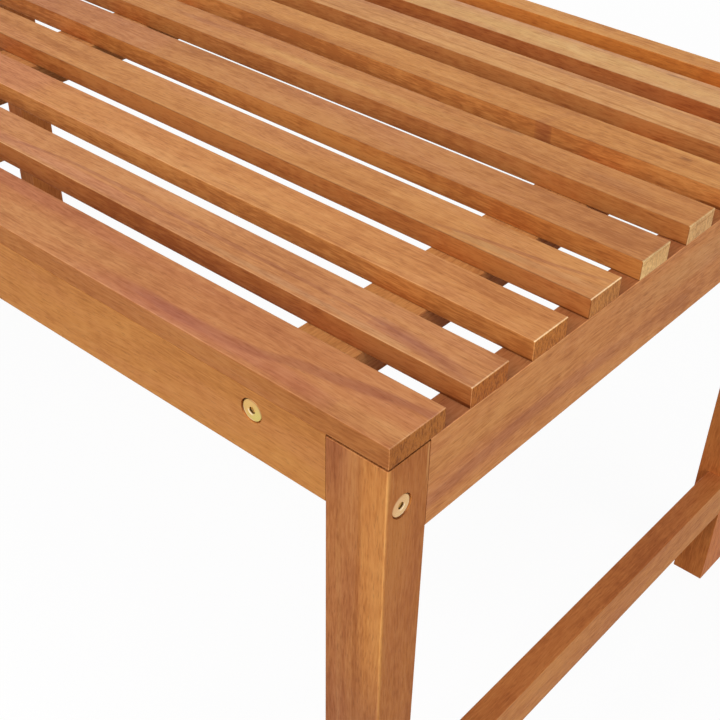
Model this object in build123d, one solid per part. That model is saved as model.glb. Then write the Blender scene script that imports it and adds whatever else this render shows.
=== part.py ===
from build123d import *
import os

# Garden bench with a slatted seat, in millimetres.
# X runs along the length, Y from front to back and Z up. The origin is on the floor under the middle.

# Whole bench
seat_length = 1000.0
seat_depth = 505.0
seat_height = 450.0

# Seat slats
slat_thickness = 13.0
front_slat_width = 41.9
front_gap = 20.1
slat_width = 30.9
slat_count = 8
slat_leg_gap = 2.6
slat_edge_radius = 0.5

# Legs: the front pair stands broadside to the front, the rear pair broadside to the end
front_leg_width = 39.4
front_leg_depth = 31.5
rear_leg_width = 28.0
rear_leg_depth = 39.0
leg_corner_radius = 1.5
leg_edge_radius = 0.5
leg_top_chamfer = 0.4
foot_chamfer = 0.4
leg_top_gap = 1.3

# Rails, apron, stretchers and bearers
board_thickness = 19.5
board_edge_radius = 0.6
side_rail_height = 57.0
apron_thickness = 23.0
apron_height = 43.7
stretcher_height = 38.8
stretcher_thickness = 19.0
stretcher_floor_gap = 82.7
bearer_width = 40.0
bearer_inset = 90.0

# Mortise-and-tenon joints
tenon_thickness = 9.0
tenon_shoulder = 8.0
tenon_end_chamfer = 1.0
mortise_clearance = 0.15
mortise_end_gap = 0.6
mortise_bolt_wall = 1.65

# Flat-head bolts with a hexagon socket
bolt_diameter = 6.0
bolt_head_diameter = 13.6
bolt_head_thickness = 2.2
bolt_head_chamfer = 0.5
bolt_head_recess = 0.6
bolt_tip_chamfer = 0.8
bolt_past_nut = 3.0
socket_across_flats = 4.0
socket_depth = 3.6
hole_clearance = 0.25
head_clearance = 0.6
leg_bolt_drop = 30.0
bearer_bolt_drop = 13.3

# Barrel nuts
nut_diameter = 10.0
nut_length = 12.0
nut_distance = 30.0
nut_slot_width = 1.6
nut_slot_depth = 1.5
nut_clearance = 0.1
thread_clearance = 0.05

# Locating dowels
dowel_diameter = 8.0
dowel_length = 30.0
dowel_end_chamfer = 1.0
dowel_drop = 12.0
dowel_clearance = 0.1
dowel_end_gap = 0.5

# Countersunk screws that hold the slats from below
screw_diameter = 4.0
screw_length = 28.0
screw_head_diameter = 7.6
screw_head_height = 2.4
screw_tip_length = 4.0
screw_tip_radius = 0.4
screw_offset = 11.0
screw_recess = 0.4
screw_clearance = 0.1
pilot_end_gap = 1.0

# Planes that several pieces share
x_end = seat_length / 2
y_front = -seat_depth / 2
y_back = seat_depth / 2
z_frame = seat_height - slat_thickness
z_apron_bottom = z_frame - apron_height
y_apron_back = y_front + apron_thickness
y_rear_rail_front = y_back - board_thickness
y_front_shoulder = y_front + front_leg_depth
y_rear_shoulder = y_back - rear_leg_depth
z_bearer_bottom = z_frame - board_thickness

# Fixings: bolts and dowels run along the middle of the apron and of the rear rail
y_front_bolt = y_front + apron_thickness / 2
y_rear_bolt = y_back - board_thickness / 2
z_leg_bolt = z_frame - leg_bolt_drop
z_bearer_bolt = z_frame - bearer_bolt_drop
z_dowel = z_frame - dowel_drop
head_pocket_depth = bolt_head_thickness + bolt_head_recess
bolt_hole_radius = bolt_diameter / 2 + hole_clearance
bolt_tip = nut_distance + nut_diameter / 2 + bolt_past_nut

# A tenon is as long as the bolt hole across the front leg leaves room for
tenon_length = (
    front_leg_depth - apron_thickness / 2 - bolt_hole_radius - mortise_bolt_wall - mortise_end_gap
)

# Slats spread evenly from the front gap to just before the rear legs
y_first_slat = y_front + front_slat_width + front_gap
y_last_slat = y_rear_shoulder - slat_leg_gap - slat_width
slat_pitch = (y_last_slat - y_first_slat) / (slat_count - 1)

bearer_x = x_end - bearer_inset
bearer_places = {"right": bearer_x, "middle": 0.0, "left": -bearer_x}

RIGHT = 1
LEFT = -1
OUT_X = Vector(1, 0, 0)
OUT_Y = Vector(0, 1, 0)
UP = Vector(0, 0, 1)
FROM_BASE = (Align.CENTER, Align.CENTER, Align.MIN)


def block(x_limits, y_limits, z_limits):
    """A square-edged block between the given limits."""
    low = Vector(x_limits[0], y_limits[0], z_limits[0])
    high = Vector(x_limits[1], y_limits[1], z_limits[1])
    size = high - low
    return Pos((low + high) / 2) * Box(size.X, size.Y, size.Z)


def rod(start, direction, radius, length):
    """A round rod or hole from start along direction."""
    return Plane(origin=start, z_dir=direction) * Cylinder(radius, length, align=FROM_BASE)


def placed(fixing, start, direction):
    """A fixing that is drawn along Z, moved to start and turned along direction."""
    return Plane(origin=start, z_dir=direction) * fixing


def on_side(piece, side):
    """The piece as drawn for the right end, or mirrored to the left."""
    return piece if side == RIGHT else mirror(piece, about=Plane.YZ)


def tenon_limits(low, high):
    """Limits of a tenon between its two shoulders."""
    return (low + tenon_shoulder, high - tenon_shoulder)


def cheek_limits(low, high):
    """Limits of a tenon in the middle of a board's thickness."""
    middle = (low + high) / 2
    return (middle - tenon_thickness / 2, middle + tenon_thickness / 2)


def widened(limits, clearance):
    return (limits[0] - clearance, limits[1] + clearance)


# Right side frame: limits of the rail and of the stretcher across the bench and in height
rail_x = (x_end - board_thickness, x_end)
rail_z = (z_frame - side_rail_height, z_frame)
stretcher_x = (x_end - stretcher_thickness, x_end)
stretcher_z = (stretcher_floor_gap, stretcher_floor_gap + stretcher_height)


def tenoned_board(x_limits, z_limits):
    """Board between the front and rear leg, with a tenon at each end."""
    shoulders = (y_front_shoulder, y_rear_shoulder)
    board = block(x_limits, shoulders, z_limits)
    board = fillet(board.edges().filter_by(Axis.Y), board_edge_radius)
    reach = widened(shoulders, tenon_length)
    tongue = block(cheek_limits(*x_limits), reach, tenon_limits(*z_limits))
    ends = tongue.faces().sort_by(Axis.Y)
    tongue = chamfer(ends[0].edges() + ends[-1].edges(), tenon_end_chamfer)
    return board + tongue


def mortise(x_limits, z_limits, shoulder, into):
    """Hole for a tenon that enters a leg at its shoulder, along into (+1 or -1 on Y)."""
    bottom = shoulder + into * (tenon_length + mortise_end_gap)
    return block(
        widened(cheek_limits(*x_limits), mortise_clearance),
        (min(shoulder, bottom), max(shoulder, bottom)),
        widened(tenon_limits(*z_limits), mortise_clearance),
    )


def bolt_hole(face, direction, length):
    """Hole for a bolt with a pocket for its head, from the face that the bolt goes in at."""
    pocket = rod(face, direction, bolt_head_diameter / 2 + head_clearance, head_pocket_depth)
    return pocket + rod(face, direction, bolt_hole_radius, length)


def bolt_end_hole(end, direction):
    """Hole for a bolt in the end of a board, as far as its tip and a little room."""
    return rod(end, direction, bolt_hole_radius, bolt_tip + bolt_past_nut)


def dowel_hole(face, direction):
    """Hole for half a dowel."""
    radius = dowel_diameter / 2 + dowel_clearance
    return rod(face, direction, radius, dowel_length / 2 + dowel_end_gap)


def nut_hole(axis_point, mouth_direction, mouth_distance):
    """Cross hole for a barrel nut, centred on the bolt and open at the given distance."""
    start = axis_point - mouth_direction * (nut_length / 2 + nut_clearance)
    length = nut_length / 2 + nut_clearance + mouth_distance
    return rod(start, mouth_direction, nut_diameter / 2 + nut_clearance, length)


def leg_blank(x_limits, y_limits, height, free_corner):
    """Leg with its free corner rounded and the edges that meet other boards only eased."""
    leg = block(x_limits, y_limits, (0, height))
    long_edges = leg.edges().filter_by(Axis.Z).sort_by_distance(free_corner)
    leg = fillet(long_edges[1:], leg_edge_radius)
    long_edges = leg.edges().filter_by(Axis.Z).sort_by_distance(free_corner)
    leg = fillet(long_edges[0], leg_corner_radius)
    leg = chamfer(leg.faces().sort_by(Axis.Z)[-1].edges(), leg_top_chamfer)
    return chamfer(leg.faces().sort_by(Axis.Z)[0].edges(), foot_chamfer)


def front_leg():
    inner_x = x_end - front_leg_width
    height = z_frame - leg_top_gap
    free_corner = Vector(x_end, y_front, height / 2)
    leg = leg_blank((inner_x, x_end), (y_front, y_front_shoulder), height, free_corner)
    leg -= mortise(rail_x, rail_z, y_front_shoulder, -1)
    leg -= mortise(stretcher_x, stretcher_z, y_front_shoulder, -1)
    leg -= bolt_hole(Vector(x_end, y_front_bolt, z_leg_bolt), -OUT_X, front_leg_width)
    return leg - dowel_hole(Vector(inner_x, y_front_bolt, z_dowel), OUT_X)


def rear_leg():
    inner_x = x_end - rear_leg_width
    free_corner = Vector(x_end, y_back, seat_height / 2)
    leg = leg_blank((inner_x, x_end), (y_rear_shoulder, y_back), seat_height, free_corner)
    leg -= mortise(rail_x, rail_z, y_rear_shoulder, 1)
    leg -= mortise(stretcher_x, stretcher_z, y_rear_shoulder, 1)
    leg -= bolt_hole(Vector(x_end, y_rear_bolt, z_leg_bolt), -OUT_X, rear_leg_width)
    return leg - dowel_hole(Vector(inner_x, y_rear_bolt, z_dowel), OUT_X)


def cross_board(leg_width, y_limits, z_limits, bolt_y, nut_mouth, mouth_distance):
    """Apron or rear rail: held between two legs by a bolt and a dowel at each end."""
    end_x = x_end - leg_width
    board = block((-end_x, end_x), y_limits, z_limits)
    board = fillet(board.edges().filter_by(Axis.X), board_edge_radius)
    for side in (RIGHT, LEFT):
        inward = OUT_X * -side
        bolt_start = Vector(side * end_x, bolt_y, z_leg_bolt)
        board -= bolt_end_hole(bolt_start, inward)
        board -= nut_hole(bolt_start + inward * nut_distance, nut_mouth, mouth_distance)
        board -= dowel_hole(Vector(side * end_x, bolt_y, z_dowel), inward)
    return board


def front_apron():
    limits = (y_front, y_apron_back)
    mouth = y_apron_back - y_front_bolt
    apron = cross_board(
        front_leg_width, limits, (z_apron_bottom, z_frame), y_front_bolt, OUT_Y, mouth
    )
    for x in bearer_places.values():
        apron -= bolt_hole(Vector(x, y_front, z_bearer_bolt), OUT_Y, apron_thickness)
    return apron


def rear_rail():
    limits = (y_rear_rail_front, y_back)
    mouth = y_rear_bolt - y_rear_rail_front
    rail = cross_board(
        rear_leg_width, limits, (z_apron_bottom, seat_height), y_rear_bolt, -OUT_Y, mouth
    )
    for x in bearer_places.values():
        rail -= bolt_hole(Vector(x, y_back, z_bearer_bolt), -OUT_Y, board_thickness)
    return rail


def slat_lines():
    """Front and back limit of every slat, the wide front one first."""
    lines = [(y_front, y_front + front_slat_width)]
    for number in range(slat_count):
        start = y_first_slat + number * slat_pitch
        lines.append((start, start + slat_width))
    return lines


def screw_points(slat_number, limits):
    """Where the screws of a slat cross the bearers, left and right of the bolts by turns."""
    y = (max(limits[0], y_apron_back) + limits[1]) / 2
    offset = screw_offset if slat_number % 2 == 0 else -screw_offset
    z = z_bearer_bottom + screw_recess
    return [Vector(x + offset, y, z) for x in bearer_places.values()]


def screw():
    """Countersunk screw along Z, its head's flat face at the origin."""
    shank_radius = screw_diameter / 2
    shank_length = screw_length - screw_tip_length
    head = Cone(screw_head_diameter / 2, shank_radius, screw_head_height, align=FROM_BASE)
    shank = rod(Vector(0, 0, 0), UP, shank_radius, shank_length)
    tip = Cone(shank_radius, screw_tip_radius, screw_tip_length, align=FROM_BASE)
    return head + shank + Pos(0, 0, shank_length) * tip


def screw_hole(start):
    """Hole with a countersink for one screw, from below the bearer up into the slat."""
    head_radius = screw_head_diameter / 2 + screw_clearance
    shank_radius = screw_diameter / 2 + screw_clearance
    sink = Pos(start) * Cone(head_radius, shank_radius, screw_head_height, align=FROM_BASE)
    entry = rod(start - UP * screw_recess, UP, head_radius, screw_recess)
    return sink + entry + rod(start, UP, shank_radius, screw_length + pilot_end_gap)


def bearer(x):
    """Seat bearer, laid flat between the apron and the rear rail."""
    limits = (y_apron_back, y_rear_rail_front)
    half_width = bearer_width / 2
    board = block((x - half_width, x + half_width), limits, (z_bearer_bottom, z_frame))
    board = fillet(board.edges().filter_by(Axis.Y), board_edge_radius)
    for end, inward in ((limits[0], OUT_Y), (limits[1], -OUT_Y)):
        bolt_start = Vector(x, end, z_bearer_bolt)
        board -= bolt_end_hole(bolt_start, inward)
        board -= nut_hole(bolt_start + inward * nut_distance, -UP, z_bearer_bolt - z_bearer_bottom)
    for number, slat_limits in enumerate(slat_lines()):
        for point in screw_points(number, slat_limits):
            if abs(point.X - x) < half_width:
                board -= screw_hole(point)
    return board


def slat(number, limits):
    """Seat slat with all edges rounded and blind holes for its screws."""
    board = block((-x_end, x_end), limits, (z_frame, seat_height))
    board = fillet(board.edges(), slat_edge_radius)
    for point in screw_points(number, limits):
        board -= screw_hole(point)
    return board


def bolt(length):
    """Flat-head bolt along Z, the underside of its head at the origin."""
    head = rod(Vector(0, 0, -bolt_head_thickness), UP, bolt_head_diameter / 2, bolt_head_thickness)
    head = chamfer(head.faces().sort_by(Axis.Z)[0].edges(), bolt_head_chamfer)
    shank = rod(Vector(0, 0, 0), UP, bolt_diameter / 2, length)
    shank = chamfer(shank.faces().sort_by(Axis.Z)[-1].edges(), bolt_tip_chamfer)
    hexagon = RegularPolygon(socket_across_flats / 2, 6, major_radius=False)
    socket = Pos(0, 0, -bolt_head_thickness) * extrude(hexagon, socket_depth)
    return head + shank - socket


def bolt_length(board_or_leg):
    """From the head's seat, through the leg or board, to just past the barrel nut."""
    return board_or_leg - head_pocket_depth + bolt_tip


def barrel_nut():
    """Barrel nut along Z with its cross hole along X and a slot to turn it by."""
    body = Cylinder(nut_diameter / 2, nut_length)
    thread_radius = bolt_diameter / 2 + thread_clearance
    thread = rod(Vector(-nut_diameter, 0, 0), OUT_X, thread_radius, 2 * nut_diameter)
    slot_top = Pos(0, 0, nut_length / 2 - nut_slot_depth / 2)
    return body - thread - slot_top * Box(nut_diameter, nut_slot_width, nut_slot_depth)


def dowel():
    """Locating dowel along Z, its middle at the origin."""
    pin = Cylinder(dowel_diameter / 2, dowel_length)
    ends = pin.faces().sort_by(Axis.Z)
    return chamfer(ends[0].edges() + ends[-1].edges(), dowel_end_chamfer)


def leg_fixings(leg_width, bolt_y, nut_mouth):
    """Bolts, barrel nuts and dowels of one pair of legs."""
    bolts, nuts, dowels = [], [], []
    for side in (RIGHT, LEFT):
        inward = OUT_X * -side
        seat = Vector(side * (x_end - head_pocket_depth), bolt_y, z_leg_bolt)
        bolts.append(placed(bolt(bolt_length(leg_width)), seat, inward))
        shoulder = Vector(side * (x_end - leg_width), bolt_y, z_leg_bolt)
        frame = Plane(origin=shoulder + inward * nut_distance, x_dir=inward, z_dir=nut_mouth)
        nuts.append(frame * barrel_nut())
        dowels.append(placed(dowel(), Vector(shoulder.X, bolt_y, z_dowel), inward))
    return bolts, nuts, dowels


def bearer_fixings(face, inward, board):
    """Bolts and barrel nuts that hold the bearers to the apron or to the rear rail."""
    bolts, nuts = [], []
    for x in bearer_places.values():
        seat = Vector(x, face, z_bearer_bolt) + inward * head_pocket_depth
        bolts.append(placed(bolt(bolt_length(board)), seat, inward))
        axis_point = Vector(x, face, z_bearer_bolt) + inward * (board + nut_distance)
        nuts.append(Plane(origin=axis_point, x_dir=inward, z_dir=-UP) * barrel_nut())
    return bolts, nuts


def screws():
    drawn = screw()
    points = []
    for number, limits in enumerate(slat_lines()):
        points += screw_points(number, limits)
    return [Pos(point) * drawn for point in points]


nodes = {}
for name, side in (("right", RIGHT), ("left", LEFT)):
    nodes[f"front_{name}_leg"] = on_side(front_leg(), side)
    nodes[f"rear_{name}_leg"] = on_side(rear_leg(), side)
    nodes[f"{name}_side_rail"] = on_side(tenoned_board(rail_x, rail_z), side)
    nodes[f"{name}_stretcher"] = on_side(tenoned_board(stretcher_x, stretcher_z), side)
nodes["front_apron"] = front_apron()
nodes["rear_rail"] = rear_rail()
for name, x in bearer_places.items():
    nodes[f"{name}_bearer"] = bearer(x)
for number, limits in enumerate(slat_lines()):
    name = "front_slat" if number == 0 else f"seat_slat_{number}"
    nodes[name] = slat(number, limits)

front_bolts, front_nuts, front_dowels = leg_fixings(front_leg_width, y_front_bolt, OUT_Y)
rear_bolts, rear_nuts, rear_dowels = leg_fixings(rear_leg_width, y_rear_bolt, -OUT_Y)
apron_bolts, apron_nuts = bearer_fixings(y_front, OUT_Y, apron_thickness)
rail_bolts, rail_nuts = bearer_fixings(y_back, -OUT_Y, board_thickness)
nodes["front_leg_bolts"] = Compound(front_bolts)
nodes["rear_leg_bolts"] = Compound(rear_bolts)
nodes["front_bearer_bolts"] = Compound(apron_bolts)
nodes["rear_bearer_bolts"] = Compound(rail_bolts)
nodes["leg_barrel_nuts"] = Compound(front_nuts + rear_nuts)
nodes["bearer_barrel_nuts"] = Compound(apron_nuts + rail_nuts)
nodes["locating_dowels"] = Compound(front_dowels + rear_dowels)
nodes["slat_screws"] = Compound(screws())

os.makedirs("parts", exist_ok=True)
for name, shape in nodes.items():
    export_step(shape, f"parts/{name}.step")
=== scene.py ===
from math import cos, radians, sin

import bmesh
import bpy
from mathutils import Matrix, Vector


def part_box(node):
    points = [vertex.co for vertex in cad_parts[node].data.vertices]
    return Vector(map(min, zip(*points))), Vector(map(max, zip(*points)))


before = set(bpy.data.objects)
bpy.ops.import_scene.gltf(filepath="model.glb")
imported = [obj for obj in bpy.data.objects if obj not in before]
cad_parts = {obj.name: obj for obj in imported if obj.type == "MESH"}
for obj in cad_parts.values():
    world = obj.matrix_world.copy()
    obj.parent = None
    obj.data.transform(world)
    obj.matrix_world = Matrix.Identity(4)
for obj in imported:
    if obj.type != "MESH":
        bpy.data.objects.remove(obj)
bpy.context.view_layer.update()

# Front legs: acacia posts with a rounded outer corner, mortised for the side rail and the stretcher.
# Each is planed from one length of board, so the grain runs up the leg, and its finish is rubbed-in oil.
X, Y, Z = range(3)
MM = 0.001


class Finish:
    """A finish that is built up from texture nodes over one shader."""

    def __init__(self, name):
        self.material = bpy.data.materials.new(name)
        self.material.use_nodes = True
        self.nodes = self.material.node_tree.nodes
        self.links = self.material.node_tree.links
        self.shader = self.nodes["Principled BSDF"]
        where = self.add("ShaderNodeTexCoord")
        self.place = where.outputs["Object"]
        self.facing = where.outputs["Normal"]

    def add(self, kind, sockets=None, **settings):
        """A node with its settings, each socket given a value or joined to another node's output."""
        node = self.nodes.new(kind)
        for setting, value in settings.items():
            setattr(node, setting, value)
        for socket, value in (sockets or {}).items():
            self.set(node, socket, value)
        return node

    def set(self, node, socket, value):
        if isinstance(value, bpy.types.NodeSocket):
            self.links.new(value, node.inputs[socket])
        else:
            node.inputs[socket].default_value = value

    def math(self, operation, *values):
        return self.add("ShaderNodeMath", dict(enumerate(values)), operation=operation).outputs[0]

    def vector(self, operation, *values):
        return self.add("ShaderNodeVectorMath", dict(enumerate(values)), operation=operation).outputs[0]

    def length(self, vector):
        return self.add("ShaderNodeVectorMath", {0: vector}, operation="LENGTH").outputs["Value"]

    def axes(self, vector):
        return self.add("ShaderNodeSeparateXYZ", {0: vector}).outputs

    def stretch(self, value, low, high, start=0.0, end=1.0):
        """The value's range from low to high, stretched evenly to run from start to end."""
        return self.add("ShaderNodeMapRange", {0: value, 1: low, 2: high, 3: start, 4: end}).outputs[0]

    def ease(self, value, low, high, start=0.0, end=1.0):
        """The value's range from low to high, eased to run from start to end."""
        sockets = {0: value, 1: low, 2: high, 3: start, 4: end}
        return self.add("ShaderNodeMapRange", sockets, interpolation_type="SMOOTHSTEP").outputs[0]

    def mix(self, amount, under, over, blend="MIX"):
        sockets = {0: amount, 6: under, 7: over}
        return self.add("ShaderNodeMix", sockets, data_type="RGBA", blend_type=blend).outputs[2]

    def tint(self, amount, colour, tint):
        """The colour, multiplied by a tint as far as the amount says."""
        return self.mix(amount, colour, (*tint, 1), "MULTIPLY")

    def noise(self, place, scale, detail, roughness=0.5, shift=(0, 0, 0), output="Fac"):
        """Noise with a scale of its own on each axis, in cells per metre."""
        moved = self.add("ShaderNodeMapping", {"Vector": place, "Location": shift, "Scale": scale})
        sockets = {"Vector": moved.outputs[0], "Scale": 1.0, "Detail": detail, "Roughness": roughness}
        return self.add("ShaderNodeTexNoise", sockets).outputs[output]

    def curve(self, value, points):
        """The value carried along a curve through points, all of them from 0 to 1."""
        node = self.add("ShaderNodeFloatCurve", {"Value": value})
        line = node.mapping.curves[0]
        while len(line.points) < len(points):
            line.points.new(0.5, 0.5)
        for point, (x, y) in zip(line.points, points):
            point.location = (x, y)
            point.handle_type = "AUTO"
        node.mapping.update()
        return node.outputs[0]


# A tint multiplies a board's own colour.
HEART = (0.76, 0.68, 0.80)
SAP_AND_HIGHLIGHT = (1.08, 1.20, 1.20)
ROSE = (0.97, 0.92, 1.18)
UMBER = (0.80, 0.70, 0.60)
MAUVE = (0.88, 0.77, 0.95)
HONEY = (1.21, 1.24, 1.01)
# Edge tints: wear with painted highlight, painted shade for a dull arris, and bare wood with painted
# highlight.
WEAR_AND_HIGHLIGHT = (1.16, 1.30, 1.50)
ARRIS_SHADE = (0.86, 0.82, 0.80)
BARE_AND_HIGHLIGHT = (1.58, 2.43, 4.00)
PLAIN = (1, 1, 1)


def streak(wood, colour, tint, along, across, width, path, wander, normal):
    """A band of other colour on one face, mostly other wood and in a few places painted highlight and shade,
    its path given as (mm along, mm across, strength) and rising along.
    """
    start, end = path[0][0], path[-1][0]
    low = min(point[1] for point in path) - 1.0
    high = max(point[1] for point in path) + 1.0
    shares = [(place - start) / (end - start) for place, _, _ in path]
    offsets = [(offset - low) / (high - low) for _, offset, _ in path]
    strengths = [strength for _, _, strength in path]

    axes = wood.axes(wood.place)
    share = wood.stretch(axes[along], start * MM, end * MM)
    middle = wood.stretch(wood.curve(share, list(zip(shares, offsets))), 0.0, 1.0, low * MM, high * MM)
    off = wood.math("ABSOLUTE", wood.math("SUBTRACT", wood.math("ADD", axes[across], wander), middle))
    soft_band = wood.ease(off, 0.4 * width * MM, width * MM, 1.0, 0.0)
    amount = wood.math("MULTIPLY", soft_band, wood.curve(share, list(zip(shares, strengths))))
    face = X + Y + Z - along - across
    amount = wood.math("MULTIPLY", amount, wood.ease(normal[face], 0.5, 0.9))
    return wood.tint(amount, colour, tint)


def oiled_acacia(node, grain, log, body, end, streaks=(), narrow_face_shading=PLAIN, arris=ARRIS_SHADE, end_arris=ARRIS_SHADE,
                 rounding_shading=PLAIN, contrast=1.1, edge_contrast=1.0):
    """Dresses a board in oiled acacia from its own place in a log, its fibres along one axis.

    The body is the colour of its faces and end that of its sawn ends.
    The narrow-face tint is painted light and shade on its narrow faces, and edge_contrast strengthens the
    grain there and on the ends.
    The arris tint is for the edges along it and the end_arris tint for those at its ends: painted highlight
    where pale, along with sanding wear, and painted shade where dull.
    The tint for the rounded front edge is painted highlight where pale and painted shade where dull, over the
    last millimetre of its broad face, and its square tints the edges across the grain.
    """
    wood = Finish(f"{node}_oil")
    low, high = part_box(node)
    over = [axis for axis in (X, Y, Z) if axis != grain]
    thin, broad = sorted(over, key=lambda axis: high[axis] - low[axis])

    def scale(along, across):
        return [along if axis == grain else across for axis in (X, Y, Z)]

    def shift(step):
        return (log * 1.7 + step, log * 2.3 - step, log * 3.1 + 2 * step)

    # Fibres sway a little, and the yearly rings lie round a pith outside the board.
    most_sway = 14 * MM
    sway = wood.noise(wood.place, scale(5, 12), 1, shift=shift(0), output="Color")
    sway = wood.vector("SUBTRACT", sway, (0.5, 0.5, 0.5))
    sway = wood.vector("MULTIPLY", sway, scale(0, most_sway))
    place = wood.vector("ADD", wood.place, sway)
    pith = (low + high) / 2
    pith_turn, pith_reach = 2.4 * log, 0.055 + 0.04 * (0.37 * log % 1.0)
    for axis, offset in zip(over, (cos(pith_turn), sin(pith_turn))):
        pith[axis] += pith_reach * offset
    spoke = wood.vector("MULTIPLY", wood.vector("SUBTRACT", place, pith), scale(0, 1))
    ring_place = wood.add("ShaderNodeCombineXYZ", {0: wood.length(spoke), 1: wood.axes(place)[grain]})
    rings = wood.noise(ring_place.outputs[0], (230, 8, 1), 3, 0.62, shift(23))

    drift = wood.noise(place, scale(6, 34), 2, shift=shift(11))
    fibre = wood.noise(place, scale(90, 820), 2, 0.6, shift(37))
    shimmer = wood.noise(place, scale(85, 60), 2, 0.5, shift(51))
    pore = wood.ease(wood.noise(place, scale(150, 1800), 1, 0.5, shift(67)), 0.58, 0.74)

    tone = 0.5
    for texture, weight in ((drift, 0.70), (rings, 0.66), (fibre, 0.85), (shimmer, 0.34)):
        centred = wood.math("SUBTRACT", texture, 0.5)
        tone = wood.math("MULTIPLY_ADD", centred, weight * contrast, tone)
    normal = wood.axes(wood.vector("ABSOLUTE", wood.facing))
    gain = wood.ease(normal[thin], 0.5, 0.9, edge_contrast, 1.0)
    tone = wood.math("MULTIPLY_ADD", wood.math("SUBTRACT", tone, 0.5), gain, 0.5)
    ramp = wood.add("ShaderNodeValToRGB", {"Fac": tone})
    late_wood, early_wood = (0.76, 0.67, 0.64, 1), (1.15, 1.28, 1.36, 1)
    stops = ramp.color_ramp.elements
    stops[0].position, stops[0].color = 0.20, late_wood
    stops[1].position, stops[1].color = 0.80, early_wood
    stops.new(0.5).color = (1, 1, 1, 1)
    figure = ramp.outputs["Color"]

    colour = wood.tint(1.0, figure, body)
    # Painted light and shade on the narrow faces: darker and redder in the slat gaps and on shaded sides,
    # paler where sheen lies.
    colour = wood.tint(wood.ease(normal[broad], 0.5, 0.9), colour, narrow_face_shading)
    blush = wood.ease(wood.noise(place, scale(6, 42), 2, shift=shift(79)), 0.48, 0.72, 0.0, 0.45)
    colour = wood.tint(blush, colour, ROSE)

    # Sawn ends: the blade's marks show most on dark ends.
    saw_tint = (0.52, 0.44, 0.38)
    saw_scale = [{grain: 1, broad: 900, thin: 240}[axis] for axis in (X, Y, Z)]
    saw_depth = 1.25 - end[0]
    saw_mark = wood.ease(wood.noise(place, saw_scale, 3, 0.7, shift(83)), 0.53, 0.42, 0.0, saw_depth)
    end_grain = wood.tint(saw_mark, wood.mix(0.5, (*end, 1), figure, "MULTIPLY"), saw_tint)
    colour = wood.mix(wood.ease(normal[grain], 0.75, 0.95), colour, end_grain)

    wander = wood.math("MULTIPLY", wood.math("SUBTRACT", rings, 0.5), 6 * MM)
    for tint, along, across, width, path in streaks:
        colour = streak(wood, colour, tint, along, across, width, path, wander, normal)
    pore_tint = (0.45, 0.38, 0.36)
    pore_depth = wood.ease(normal[grain], 0.5, 0.9, 0.38, 0.12)
    colour = wood.tint(wood.math("MULTIPLY", pore, pore_depth), colour, pore_tint)

    # Arrises: tinted along the board, across the grain and at the top tips of its ends. Pale tints are painted
    # highlight along with sanding wear, dull tints are painted shade, and downward edges get painted shade.
    underside_shade = (0.34, 0.26, 0.21)
    spot = wood.axes(wood.place)
    from_middle = wood.math("ABSOLUTE", wood.math("SUBTRACT", spot[grain], ((low + high) / 2)[grain]))
    from_end = wood.math("SUBTRACT", (high - low)[grain] / 2, from_middle)
    from_top = wood.math("SUBTRACT", high[thin], spot[thin])
    at_end, at_top = wood.ease(from_end, 1.2 * MM, 0.5 * MM), wood.ease(from_top, 0.9 * MM, 0.3 * MM)
    tip = wood.math("MULTIPLY", at_end, at_top)
    widest = wood.math("MAXIMUM", wood.math("MAXIMUM", normal[X], normal[Y]), normal[Z])
    corner = [tint * tint for tint in rounding_shading]
    arris_tint = wood.mix(wood.ease(normal[grain], 0.1, 0.4), (*arris, 1), (*corner, 1))
    arris_tint = wood.mix(tip, arris_tint, (*end_arris, 1))
    # Painted shade on downward-facing edges, for the dark line where a board sits on another.
    underneath = wood.ease(wood.axes(wood.facing)[Z], -0.1, -0.4)
    arris_tint = wood.mix(underneath, arris_tint, (*underside_shade, 1))
    arris_mask = wood.math("MAXIMUM", wood.ease(widest, 0.985, 0.90), tip)
    colour = wood.mix(arris_mask, colour, arris_tint, "MULTIPLY")
    # Painted shading along the front millimetre of the broad face: a highlight where the tint is pale, shade
    # where it is dull.
    from_front = wood.math("SUBTRACT", spot[broad], low[broad])
    on_top = wood.ease(normal[thin], 0.7, 0.95)
    front_edge = wood.math("MULTIPLY", wood.ease(from_front, 1.4 * MM, 0.4 * MM), on_top)
    colour = wood.tint(front_edge, colour, rounding_shading)

    wood.set(wood.shader, "Base Color", colour)
    wood.set(wood.shader, "Roughness", wood.ease(fibre, 0.2, 0.8, 0.60, 0.48))
    wood.shader.inputs["Specular IOR Level"].default_value = 0.10
    relief = wood.math("MULTIPLY_ADD", pore, -0.8, fibre)
    bump = wood.add("ShaderNodeBump", {"Strength": 0.25, "Distance": 0.3 * MM, "Height": relief})
    wood.set(wood.shader, "Normal", bump.outputs[0])
    dress(node, wood.material)


def dress(node, material):
    """The node shown in one material."""
    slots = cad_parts[node].data.materials
    slots.clear()
    slots.append(material)


brown_end = (0.40, 0.140, 0.038)
front_leg_oil = (0.515, 0.192, 0.0555)
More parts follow.
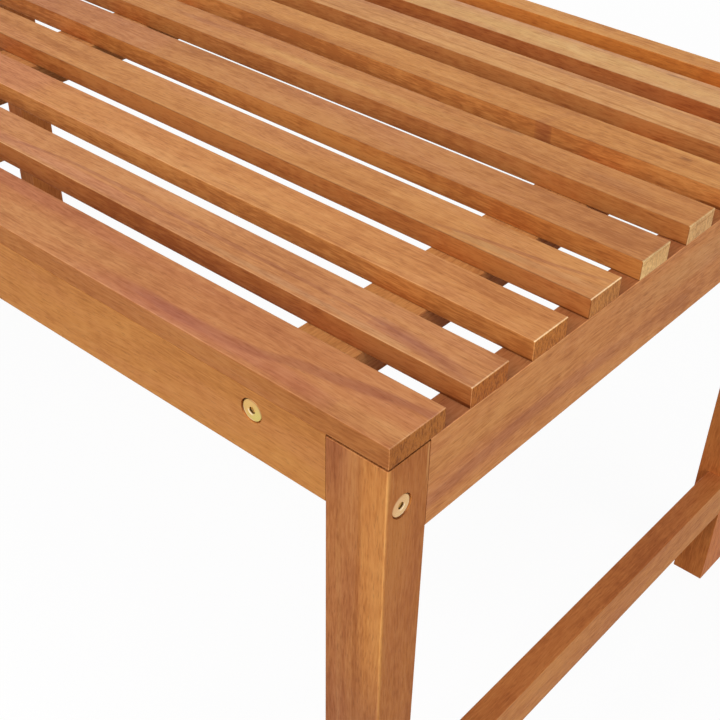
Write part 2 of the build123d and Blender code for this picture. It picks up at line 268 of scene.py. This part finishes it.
# The legs' sides get painted shade.
front_leg_side_shade = (0.83, 0.745, 0.59)
front_leg_streaks = (
    (MAUVE, Z, X, 17, ((180, 464, 0.2), (300, 465, 0.25), (400, 466, 0.35), (436, 467, 0.5))),
    (HONEY, Z, X, 15, ((240, 496, 0.0), (280, 496, 0.5), (320, 495, 0.9), (415, 494, 1.0),
                       (436, 494, 0.7))),
    (HEART, Z, X, 45, ((150, 480, 0.7), (245, 480, 0.65), (270, 480, 0.3), (295, 480, 0.0))),
    (HEART, Z, X, 13, ((395, 465, 0.0), (412, 465, 0.4), (436, 465, 0.6))),
    (SAP_AND_HIGHLIGHT, Z, X, 2.2, ((180, 470, 0.5), (300, 471, 0.6), (380, 470, 0.5), (420, 470, 0.1))),
    (UMBER, Z, X, 1.8, ((180, 483, 0.5), (300, 482, 0.6), (380, 483, 0.7), (430, 482, 0.4))),
    # Down the side by the rounded front corner runs a pale line, partly wear and partly painted highlight; a
    # short painted highlight lies at the top of the back edge, where the leg meets the rail.
    (SAP_AND_HIGHLIGHT, Z, Y, 1.8, ((180, -251.5, 1.0), (300, -251.5, 0.8), (350, -251.5, 0.3), (405, -251.5, 0.2),
                      (415, -251.5, 1.0), (436, -251.5, 1.0))),
    (BARE_AND_HIGHLIGHT, Z, Y, 1.0, ((405, -222, 0.0), (416, -222, 0.3), (428, -222, 0.5), (436, -222, 0.5))),
)
oiled_acacia("front_right_leg", Z, 1.0, front_leg_oil, brown_end, front_leg_streaks, front_leg_side_shade, WEAR_AND_HIGHLIGHT)
oiled_acacia("front_left_leg", Z, 2.0, front_leg_oil, brown_end, (), front_leg_side_shade, WEAR_AND_HIGHLIGHT)

# Rear legs: the same acacia, planed thinner across the bench and deeper front to back.
# They run up to the seat's top, and the rear rail is bolted between them.
rear_leg_oil = (0.57, 0.177, 0.042)
oiled_acacia("rear_right_leg", Z, 3.0, rear_leg_oil, brown_end)
oiled_acacia("rear_left_leg", Z, 4.0, rear_leg_oil, brown_end)

# Side rails: acacia boards on edge, tenoned and glued into the front and rear legs.
# Their outer faces lie level with the legs, and the slat ends rest on them.
ASH = (0.93, 1.08, 1.30)
# Their tops get painted shade where they show between the slats, and their arrises a painted highlight.
side_rail_oil = (0.56, 0.220, 0.068)
side_rail_top_shade = (0.69, 0.62, 0.66)
side_rail_arris_highlight = (1.32, 1.45, 1.75)
side_rail_streaks = (
    (HEART, Y, Z, 7, ((-222, 395, 0.6), (-172, 397, 0.7), (-122, 399, 0.7), (-72, 398, 0.6),
                      (-22, 395, 0.4), (30, 390, 0.2), (60, 389, 0.0))),
    (SAP_AND_HIGHLIGHT, Y, Z, 11, ((-222, 418, 0.3), (-172, 418, 0.5), (-120, 416, 0.2), (-60, 414, 0.0))),
    (ASH, Y, Z, 14, ((-60, 420, 0.0), (20, 418, 0.4), (100, 415, 0.5), (210, 415, 0.4))),
    (HEART, Y, X, 25, ((-222, 490, 0.45), (-190, 490, 0.4), (-165, 490, 0.0))),
)
for node, log, streaks in (("right_side_rail", 5.0, side_rail_streaks), ("left_side_rail", 6.0, ())):
    oiled_acacia(node, Y, log, side_rail_oil, brown_end, streaks, side_rail_top_shade, side_rail_arris_highlight)

# Stretchers: low acacia boards between the legs of each end, tenoned in and level with them like the rails.
# They are a shade redder than the rails, and their top edge gets painted shade, darker and redder, where the
# seat shadows it.
stretcher_oil = (0.53, 0.197, 0.050)
stretcher_top_shade = (0.945, 0.815, 0.84)
oiled_acacia("right_stretcher", Y, 7.0, stretcher_oil, brown_end, (), stretcher_top_shade)
oiled_acacia("left_stretcher", Y, 8.0, stretcher_oil, brown_end, (), stretcher_top_shade)

# Front apron: a plain acacia board between the front legs, level with their faces.
# A bolt and a dowel hold each end, and three bolts go through it into the bearers.
apron_oil = (0.60, 0.239, 0.0615)
apron_contrast = 0.8
oiled_acacia("front_apron", X, 9.0, apron_oil, brown_end, contrast=apron_contrast)

# Rear rail: an acacia board on edge between the rear legs, its top edge level with the slats.
# A bolt and a dowel hold each end, as on the apron, and three bolts go through it into the bearers.
rear_rail_oil = (0.565, 0.170, 0.029)
# Its top edge is tinted much paler, a painted sheen.
rear_rail_top_sheen = (1.10, 1.57, 2.65)
oiled_acacia("rear_rail", X, 10.0, rear_rail_oil, brown_end, (), rear_rail_top_sheen)

# Bearers: three flat acacia boards under the slats, bolted to the apron and the rear rail.
# The slats are screwed to them from below.
bearer_oil = (0.587, 0.254, 0.078)
for number, side in enumerate(("right", "middle", "left")):
    oiled_acacia(f"{side}_bearer", Y, 11.0 + number, bearer_oil, brown_end)

# Front slat: an acacia board, wider than the other slats, over the apron and the tops of the front legs.
# It is screwed to the bearers from below. Dark heartwood swings across it near its right end.
front_slat_oil = (0.50, 0.191, 0.069)
front_slat_end = (0.420, 0.141, 0.026)
# Its front face and arris get painted shade; its end tips and the rounded front of its top get painted
# highlight, on the tips along with wear.
front_slat_front_shade = (0.96, 0.90, 0.67)
front_slat_arris_shade = (0.86, 0.84, 0.84)
front_slat_tip = (1.10, 1.25, 1.50)
edge_highlight = (1.15, 1.23, 1.32)
front_slat_streaks = (
    (MAUVE, X, Y, 8, ((270, -247, 0.0), (305, -246, 0.4), (345, -245.5, 0.9), (380, -244.5, 0.65),
                      (410, -244, 0.65), (435, -245, 0.75), (460, -246, 0.0))),
    (HEART, X, Y, 5, ((290, -244, 0.0), (320, -242.5, 0.5), (350, -244, 0.7), (380, -242.5, 0.5),
                      (400, -240, 0.7), (425, -233, 0.8), (450, -228.5, 0.9), (475, -223.5, 1.0),
                      (500, -220, 0.9))),
    (SAP_AND_HIGHLIGHT, X, Y, 9, ((100, -245, 0.7), (200, -246, 0.7), (260, -247, 0.5), (295, -248, 0.0))),
    (SAP_AND_HIGHLIGHT, X, Y, 8, ((180, -238, 0.0), (230, -234, 1.0), (280, -233.5, 0.8), (330, -232, 0.2),
                    (360, -231, 0.0))),
    (MAUVE, X, Y, 7, ((130, -216, 0.4), (170, -217, 0.7), (240, -217, 0.5), (300, -218, 0.1))),
    (SAP_AND_HIGHLIGHT, X, Y, 9, ((440, -249, 0.0), (470, -246, 0.9), (500, -243, 1.0))),
)
oiled_acacia("front_slat", X, 20.0, front_slat_oil, front_slat_end, front_slat_streaks,
             front_slat_front_shade, front_slat_arris_shade, front_slat_tip, edge_highlight)

# Seat slats: eight equal acacia strips with eased edges, screwed to the bearers from below.
# Each is sawn from another board, so colour, streaks and knots differ from slat to slat, as do the painted
# shade on their fronts and the painted highlight and shade on their edges.
# Their ends rest on the side rails, where a painted shadow line darkens the bottom of each slat.
KNOT = (0.50, 0.44, 0.52)
# Dull tints for arrises and rounded front edges are painted shade; pale end tips are painted highlight along
# with sanding wear.
soft_edge_shade = (0.76, 0.71, 0.68)
dull_edge_shade = (0.64, 0.58, 0.55)
pale_tip = (1.18, 1.60, 2.10)
slat_edge_contrast = 1.5
# A painted shadow line along each slat's bottom where its ends sit on the rails.
rail_contact_shade = ((0.42, 0.34, 0.30), X, Z, 1.8, ((-500, 437.2, 1.0), (-480, 437.2, 1.0), (-474, 437.2, 0.0),
                                        (474, 437.2, 0.0), (480, 437.2, 1.0), (500, 437.2, 1.0)))
seat_slats = (
    (dict(body=(0.55, 0.231, 0.084), end=(0.440, 0.132, 0.020), narrow_face_shading=(0.71, 0.52, 0.352),
          arris=(0.77, 0.76, 0.78), end_arris=(1.40, 1.90, 2.60), rounding_shading=edge_highlight), (
        (HEART, X, Y, 2.0, ((130, -184, 0.3), (150, -179.5, 0.7), (200, -176, 0.8), (300, -176.5, 0.7),
                            (400, -176.5, 0.7), (430, -178, 0.6), (470, -182.5, 0.5), (500, -188.5, 0.2))),
        (HEART, X, Y, 7, ((425, -178.5, 0.0), (452, -180.5, 0.95), (475, -183.5, 0.85), (500, -188, 0.35))),
        (ROSE, X, Y, 6, ((110, -184, 0.6), (200, -184, 0.8), (260, -185, 0.4), (320, -186, 0.0))),
        (ASH, X, Y, 3, ((280, -187, 0.2), (340, -186, 0.6), (430, -187, 0.5), (460, -188, 0.0))))),
    (dict(body=(0.58, 0.238, 0.078), end=(0.510, 0.171, 0.028), narrow_face_shading=(0.925, 0.81, 0.595),
          arris=(0.92, 0.93, 0.94), end_arris=BARE_AND_HIGHLIGHT, rounding_shading=edge_highlight), (
        (ROSE, X, Y, 26, ((20, -122, 0.9), (70, -122, 0.8), (84, -122, 0.2), (120, -122, 0.0))),
        (SAP_AND_HIGHLIGHT, X, Y, 7, ((120, -130, 0.2), (200, -132, 0.6), (300, -131, 0.6), (360, -130, 0.2))),
        (UMBER, X, Y, 20, ((420, -118, 0.0), (460, -118, 0.25), (500, -118, 0.3))))),
    (dict(body=(0.57, 0.240, 0.076), end=(0.510, 0.190, 0.044), narrow_face_shading=(0.785, 0.582, 0.425),
          arris=(0.61, 0.56, 0.52), end_arris=BARE_AND_HIGHLIGHT, rounding_shading=dull_edge_shade), (
        (HEART, X, Y, 2.0, ((390, -80, 0.1), (415, -75.5, 0.8), (450, -71.5, 0.8), (470, -68.5, 0.8),
                            (500, -61, 0.4))),
        (ASH, X, Y, 4, ((400, -80, 0.0), (425, -79, 0.8), (460, -77, 0.5), (500, -72, 0.3))),
        (UMBER, X, Y, 5, ((270, -76, 0.0), (310, -74, 0.6), (340, -74, 0.6), (370, -77, 0.0))),
        (UMBER, X, Y, 5, ((0, -67, 0.4), (30, -71, 0.6), (60, -74, 0.5), (110, -78, 0.3),
                          (260, -79, 0.4))))),
    (dict(body=(0.53, 0.221, 0.068), end=(0.820, 0.490, 0.194), narrow_face_shading=(0.965, 0.77, 0.56),
          arris=soft_edge_shade, end_arris=pale_tip, rounding_shading=soft_edge_shade), (
        (UMBER, Y, Z, 0.7, ((-31, 447, 0.9), (-20, 447, 0.6), (-2, 447.3, 0.9))),
        (ROSE, X, Y, 26, ((0, -16, 0.8), (75, -16, 0.8), (90, -16, 0.3), (200, -16, 0.3))),
        (UMBER, X, Y, 2.5, ((360, -17, 0.0), (400, -17, 0.4), (440, -18, 0.3), (470, -18, 0.0))))),
    (dict(body=(0.54, 0.220, 0.068), end=(0.73, 0.407, 0.162), narrow_face_shading=(0.83, 0.675, 0.53),
          arris=soft_edge_shade, end_arris=pale_tip, rounding_shading=soft_edge_shade), (
        (UMBER, Y, Z, 0.7, ((22, 446.5, 0.6), (35, 447, 0.9), (51, 447.5, 0.9))),
        (SAP_AND_HIGHLIGHT, X, Y, 6, ((80, 30, 0.0), (120, 33, 0.6), (170, 34, 0.9), (250, 34, 0.9), (300, 36, 0.7),
                        (350, 37, 0.2))),
        (HEART, X, Y, 7, ((410, 38, 0.0), (430, 37, 0.5), (450, 37, 0.4), (470, 37, 0.0))),
        (HEART, X, Y, 4, ((30, 38, 0.3), (70, 38, 0.6), (110, 39, 0.1))),
        (KNOT, X, Y, 2.5, ((328, 47, 0.0), (340, 48, 0.5), (350, 49.5, 0.6), (360, 50, 0.0))))),
    (dict(body=(0.58, 0.245, 0.072), end=brown_end, narrow_face_shading=(0.965, 0.79, 0.64),
          arris=soft_edge_shade, rounding_shading=soft_edge_shade), (
        (HEART, X, Z, 12, ((352, 443.5, 0.0), (357, 443.5, 0.9), (364, 443.5, 0.9), (366, 443.5, 0.0))),
        (HEART, Y, X, 5, ((73, 355, 0.7), (80, 357, 0.4), (106, 367, 0.3))),
        (UMBER, X, Y, 6, ((200, 79, 0.2), (260, 82, 0.5), (300, 84, 0.5), (350, 80, 0.0))),
        (KNOT, X, Y, 2.2, ((450, 95, 0.0), (455, 95, 0.6), (460, 95, 0.0))))),
    (dict(body=(0.615, 0.284, 0.101), end=brown_end, narrow_face_shading=(0.695, 0.485, 0.34),
          arris=soft_edge_shade, rounding_shading=soft_edge_shade), (
        (UMBER, X, Y, 1.6, ((130, 143, 0.4), (200, 140.5, 0.7), (250, 139.5, 0.7), (300, 138, 0.8),
                            (350, 135.5, 0.9), (400, 133, 0.9), (440, 130, 0.6))),
        (UMBER, X, Y, 1.6, ((100, 133, 0.6), (150, 132, 0.8), (200, 131, 0.6), (260, 131, 0.2))),
        (HEART, X, Y, 2.4, ((250, 155, 0.3), (300, 155, 0.7), (350, 154.5, 0.7), (400, 153, 0.6),
                            (450, 152, 0.4))))),
    (dict(body=(0.635, 0.320, 0.120), end=brown_end, narrow_face_shading=(0.63, 0.352, 0.216),
          arris=soft_edge_shade, rounding_shading=soft_edge_shade), (
        (KNOT, X, Y, 1.7, ((376, 205.5, 0.0), (382, 205.5, 0.6), (388, 205.5, 0.6), (394, 205.5, 0.0))),
        (ROSE, X, Y, 4, ((180, 208, 0.6), (300, 208, 0.6), (420, 208, 0.6))),
        (SAP_AND_HIGHLIGHT, X, Y, 7, ((200, 195, 0.4), (280, 196, 0.6), (360, 197, 0.4), (400, 198, 0.0))))),
)
for number, (tints, streaks) in enumerate(seat_slats, 1):
    oiled_acacia(f"seat_slat_{number}", X, 20.0 + number, streaks=(*streaks, rail_contact_shade),
                 edge_contrast=slat_edge_contrast, **tints)

# Bolts: turned steel with flat heads and hexagon sockets, zinc plated and passivated yellow.
# The lathe leaves fine rings on the head. Painted highlights brighten its lower rims, painted shade dims its
# upper rim, and the socket has painted shade on its wall and painted light on its floor.


def yellow_zinc(name, along, head_face, centres, plain, green, spacing=None):
    """Yellow zinc with turned rings round bolts along X or Y, which share an axis or stand in a spaced row."""
    zinc = Finish(name)
    dark_ring = (0.50, 0.30, 0.11)
    rim_highlight, rim_shade = (1.0, 0.80, 0.52), (0.48, 0.24, 0.09)
    socket_wall_shade, socket_floor_light = (0.16, 0.09, 0.03), (0.92, 0.74, 0.42)
    ring_turn = 7.0 / MM

    x, y, z = zinc.axes(zinc.place)
    across = zinc.math("SUBTRACT", y if along == X else x, centres[0])
    if spacing:
        across = zinc.math("WRAP", across, spacing / 2, -spacing / 2)
    up = zinc.math("SUBTRACT", z, centres[1])
    square = zinc.math("ADD", zinc.math("MULTIPLY", across, across), zinc.math("MULTIPLY", up, up))
    radius = zinc.math("SQRT", square)
    depth = zinc.math("SUBTRACT", head_face, zinc.math("ABSOLUTE", x if along == X else y))
    rings = zinc.math("SINE", zinc.math("MULTIPLY", radius, ring_turn))

    cloud = zinc.noise(zinc.place, (260, 260, 260), 2)
    hue = zinc.math("ADD", zinc.math("MULTIPLY", zinc.math("SUBTRACT", across, up), 70.0), cloud)
    colour = zinc.mix(zinc.ease(hue, 0.25, 0.95), (*plain, 1), (*green, 1))
    colour = zinc.mix(zinc.ease(rings, -1.0, 1.0, 0.0, 0.16), colour, (*dark_ring, 1))

    # Painted highlights on the lower rims of the head and socket, painted shade on the upper rim.
    away = 0.6 if along == X else -0.6
    lower = zinc.math("SUBTRACT", zinc.math("MULTIPLY", across, away), zinc.math("MULTIPLY", up, 0.8))
    lower = zinc.math("DIVIDE", lower, radius)
    past_socket, near_socket = zinc.ease(radius, 1.9 * MM, 2.2 * MM), zinc.ease(radius, 3.6 * MM, 2.7 * MM)
    socket_rim = zinc.math("MULTIPLY", past_socket, near_socket)
    head_rim = zinc.ease(radius, 5.4 * MM, 6.2 * MM, 0.0, 0.6)
    lit_rims = zinc.math("MULTIPLY", zinc.ease(lower, 0.45, 0.95), zinc.math("MAXIMUM", socket_rim, head_rim))
    colour = zinc.mix(lit_rims, colour, (*rim_highlight, 1))
    shaded_rim = zinc.math("MULTIPLY", zinc.ease(lower, -0.3, -0.9), zinc.ease(radius, 5.0 * MM, 6.4 * MM))
    colour = zinc.mix(shaded_rim, colour, (*rim_shade, 1))
    # The socket: painted shade on its wall, painted light on its floor.
    in_socket, below_face = zinc.ease(radius, 2.6 * MM, 2.3 * MM), zinc.ease(depth, 0.1 * MM, 0.8 * MM)
    inside = zinc.math("MULTIPLY", below_face, in_socket)
    socket = zinc.mix(zinc.ease(depth, 1.0 * MM, 1.6 * MM), (*socket_wall_shade, 1), (*socket_floor_light, 1))
    colour = zinc.mix(inside, colour, socket)

    zinc.set(zinc.shader, "Base Color", colour)
    zinc.shader.inputs["Metallic"].default_value = 1.0
    zinc.set(zinc.shader, "Roughness", zinc.ease(rings, -1.0, 1.0, 0.40, 0.52))
    bump = zinc.add("ShaderNodeBump", {"Strength": 0.12, "Distance": 0.1 * MM, "Height": rings})
    zinc.set(zinc.shader, "Normal", bump.outputs[0])
    return zinc.material


bolt_head = 13.6 * MM
leg_bolt_tan, leg_bolt_cream = (0.70, 0.42, 0.19), (0.74, 0.50, 0.24)
bearer_bolt_gold, bearer_bolt_green = (0.77, 0.48, 0.16), (0.70, 0.57, 0.17)
for node in ("front_leg_bolts", "rear_leg_bolts"):
    low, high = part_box(node)
    middle = (low + high) / 2
    centres = (middle.y, middle.z)
    dress(node, yellow_zinc(f"{node}_zinc", X, high.x, centres, leg_bolt_tan, leg_bolt_cream))
for node in ("front_bearer_bolts", "rear_bearer_bolts"):
    low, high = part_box(node)
    middle = (low + high) / 2
    face = max(abs(low.y), abs(high.y))
    pitch = (high.x - low.x - bolt_head) / 2
    centres = (middle.x, middle.z)
    dress(node, yellow_zinc(f"{node}_zinc", Y, face, centres, bearer_bolt_gold, bearer_bolt_green, pitch))

# Barrel nuts and slat screws: plain turned steel in the same yellow zinc.
# The nuts sit in blind holes across the boards, and the screws go up through the bearers.
nut_gold, nut_green = (0.78, 0.60, 0.27), (0.70, 0.58, 0.24)
small_zinc = Finish("small_zinc")
cloud = small_zinc.noise(small_zinc.place, (260, 260, 260), 2)
tone = small_zinc.mix(small_zinc.ease(cloud, 0.35, 0.65), (*nut_gold, 1), (*nut_green, 1))
small_zinc.set(small_zinc.shader, "Base Color", tone)
small_zinc.shader.inputs["Metallic"].default_value = 1.0
small_zinc.shader.inputs["Roughness"].default_value = 0.4
for node in ("leg_barrel_nuts", "bearer_barrel_nuts", "slat_screws"):
    dress(node, small_zinc.material)

# Locating dowels: bare beech pins, turned, with chamfered ends, pushed in beside the leg bolts.
# They stay out of sight once the bench is together.
beech_dark, beech_light = (0.52, 0.34, 0.20), (0.68, 0.48, 0.30)
beech = Finish("beech")
fleck = beech.noise(beech.place, (60, 900, 900), 2)
beech.set(beech.shader, "Base Color", beech.mix(fleck, (*beech_dark, 1), (*beech_light, 1)))
beech.shader.inputs["Roughness"].default_value = 0.7
dress("locating_dowels", beech.material)

# Floor: a plain white studio floor, which keeps a faint shadow of the bench.
# To the camera, and in metal, most of its white is its own, and the rest is lit.
floor_half = 6.0
own_share = 0.93
thrown_back = 0.2
plane = bmesh.new()
bmesh.ops.create_grid(plane, x_segments=1, y_segments=1, size=floor_half)
floor_mesh = bpy.data.meshes.new("studio_floor")
plane.to_mesh(floor_mesh)
plane.free()
floor = bpy.data.objects.new("studio_floor", floor_mesh)
bpy.context.scene.collection.objects.link(floor)


def seen_directly(nodes, links):
    """1 for what the camera, a reflection or clear glass shows, and 0 for light that falls on the bench."""
    ray = nodes.new("ShaderNodeLightPath")
    total = ray.outputs["Is Camera Ray"]
    for kind in ("Is Glossy Ray", "Is Transmission Ray"):
        either = nodes.new("ShaderNodeMath")
        either.operation = "MAXIMUM"
        links.new(total, either.inputs[0])
        links.new(ray.outputs[kind], either.inputs[1])
        total = either.outputs[0]
    return total


paint = bpy.data.materials.new("floor_white")
paint.use_nodes = True
nodes, links = paint.node_tree.nodes, paint.node_tree.links
nodes.remove(nodes["Principled BSDF"])
seen = seen_directly(nodes, links)
own_white = nodes.new("ShaderNodeMath")
own_white.operation = "MULTIPLY"
links.new(seen, own_white.inputs[0])
own_white.inputs[1].default_value = own_share
shade = nodes.new("ShaderNodeMapRange")
links.new(seen, shade.inputs[0])
shade.inputs[3].default_value = thrown_back
shade.inputs[4].default_value = 1.0
matt = nodes.new("ShaderNodeBsdfDiffuse")
links.new(shade.outputs[0], matt.inputs["Color"])
glow = nodes.new("ShaderNodeEmission")
glow.inputs["Strength"].default_value = 1.0
blend = nodes.new("ShaderNodeMixShader")
links.new(own_white.outputs[0], blend.inputs[0])
links.new(matt.outputs[0], blend.inputs[1])
links.new(glow.outputs[0], blend.inputs[2])
links.new(blend.outputs[0], nodes["Material Output"].inputs["Surface"])
floor_mesh.materials.append(paint)

# Light: an even white surround, a softbox above the bench, one high in front and one to the right.
# A long low one behind lights the back and the left end, and lies too low to shine on the seat.
surround_light = 0.36
world = bpy.data.worlds.new("studio_surround")
bpy.context.scene.world = world
world.use_nodes = True
nodes, links = world.node_tree.nodes, world.node_tree.links
level = nodes.new("ShaderNodeMapRange")
links.new(seen_directly(nodes, links), level.inputs[0])
level.inputs[3].default_value = surround_light
level.inputs[4].default_value = 1.0
links.new(level.outputs[0], nodes["Background"].inputs["Strength"])
nodes["Background"].inputs["Color"].default_value = (1, 1, 1, 1)

for name, spot, turn, width, height, power in (
        ("softbox_above", (-0.5, -0.45, 2.8), (19.5, 0, -57.3), 1.8, 1.8, 18.0),
        ("softbox_front", (0.3, -2.25, 1.9), (56.0, 0, 2.7), 1.8, 1.8, 42.0),
        ("softbox_right", (2.8, -0.5, 1.0), (77.2, 0, 82.9), 1.6, 1.6, 35.0),
        ("softbox_behind", (-1.5, 2.4, 0.24), (90.0, 0, -148.0), 2.4, 0.44, 40.0)):
    light = bpy.data.lights.new(name, "AREA")
    light.shape, light.size, light.size_y, light.energy = "RECTANGLE", width, height, power
    lamp = bpy.data.objects.new(name, light)
    lamp.location = spot
    lamp.rotation_euler = [radians(angle) for angle in turn]
    bpy.context.scene.collection.objects.link(lamp)

# Camera: close to the front right corner, looking down over the seat.
# Its lens and its small shift give the photograph's framing.
camera_turn = (50.1253, -1.8502, 40.3738)
view = bpy.data.cameras.new("corner_view")
view.sensor_width = 36.0
view.lens = 60.92
view.shift_x = -0.0353
view.shift_y = 0.1058
camera = bpy.data.objects.new("corner_view", view)
camera.location = (0.76184, -0.58127, 0.80877)
camera.rotation_euler = [radians(angle) for angle in camera_turn]
bpy.context.scene.collection.objects.link(camera)
bpy.context.scene.camera = camera
bpy.context.scene.view_settings.view_transform = "Standard"
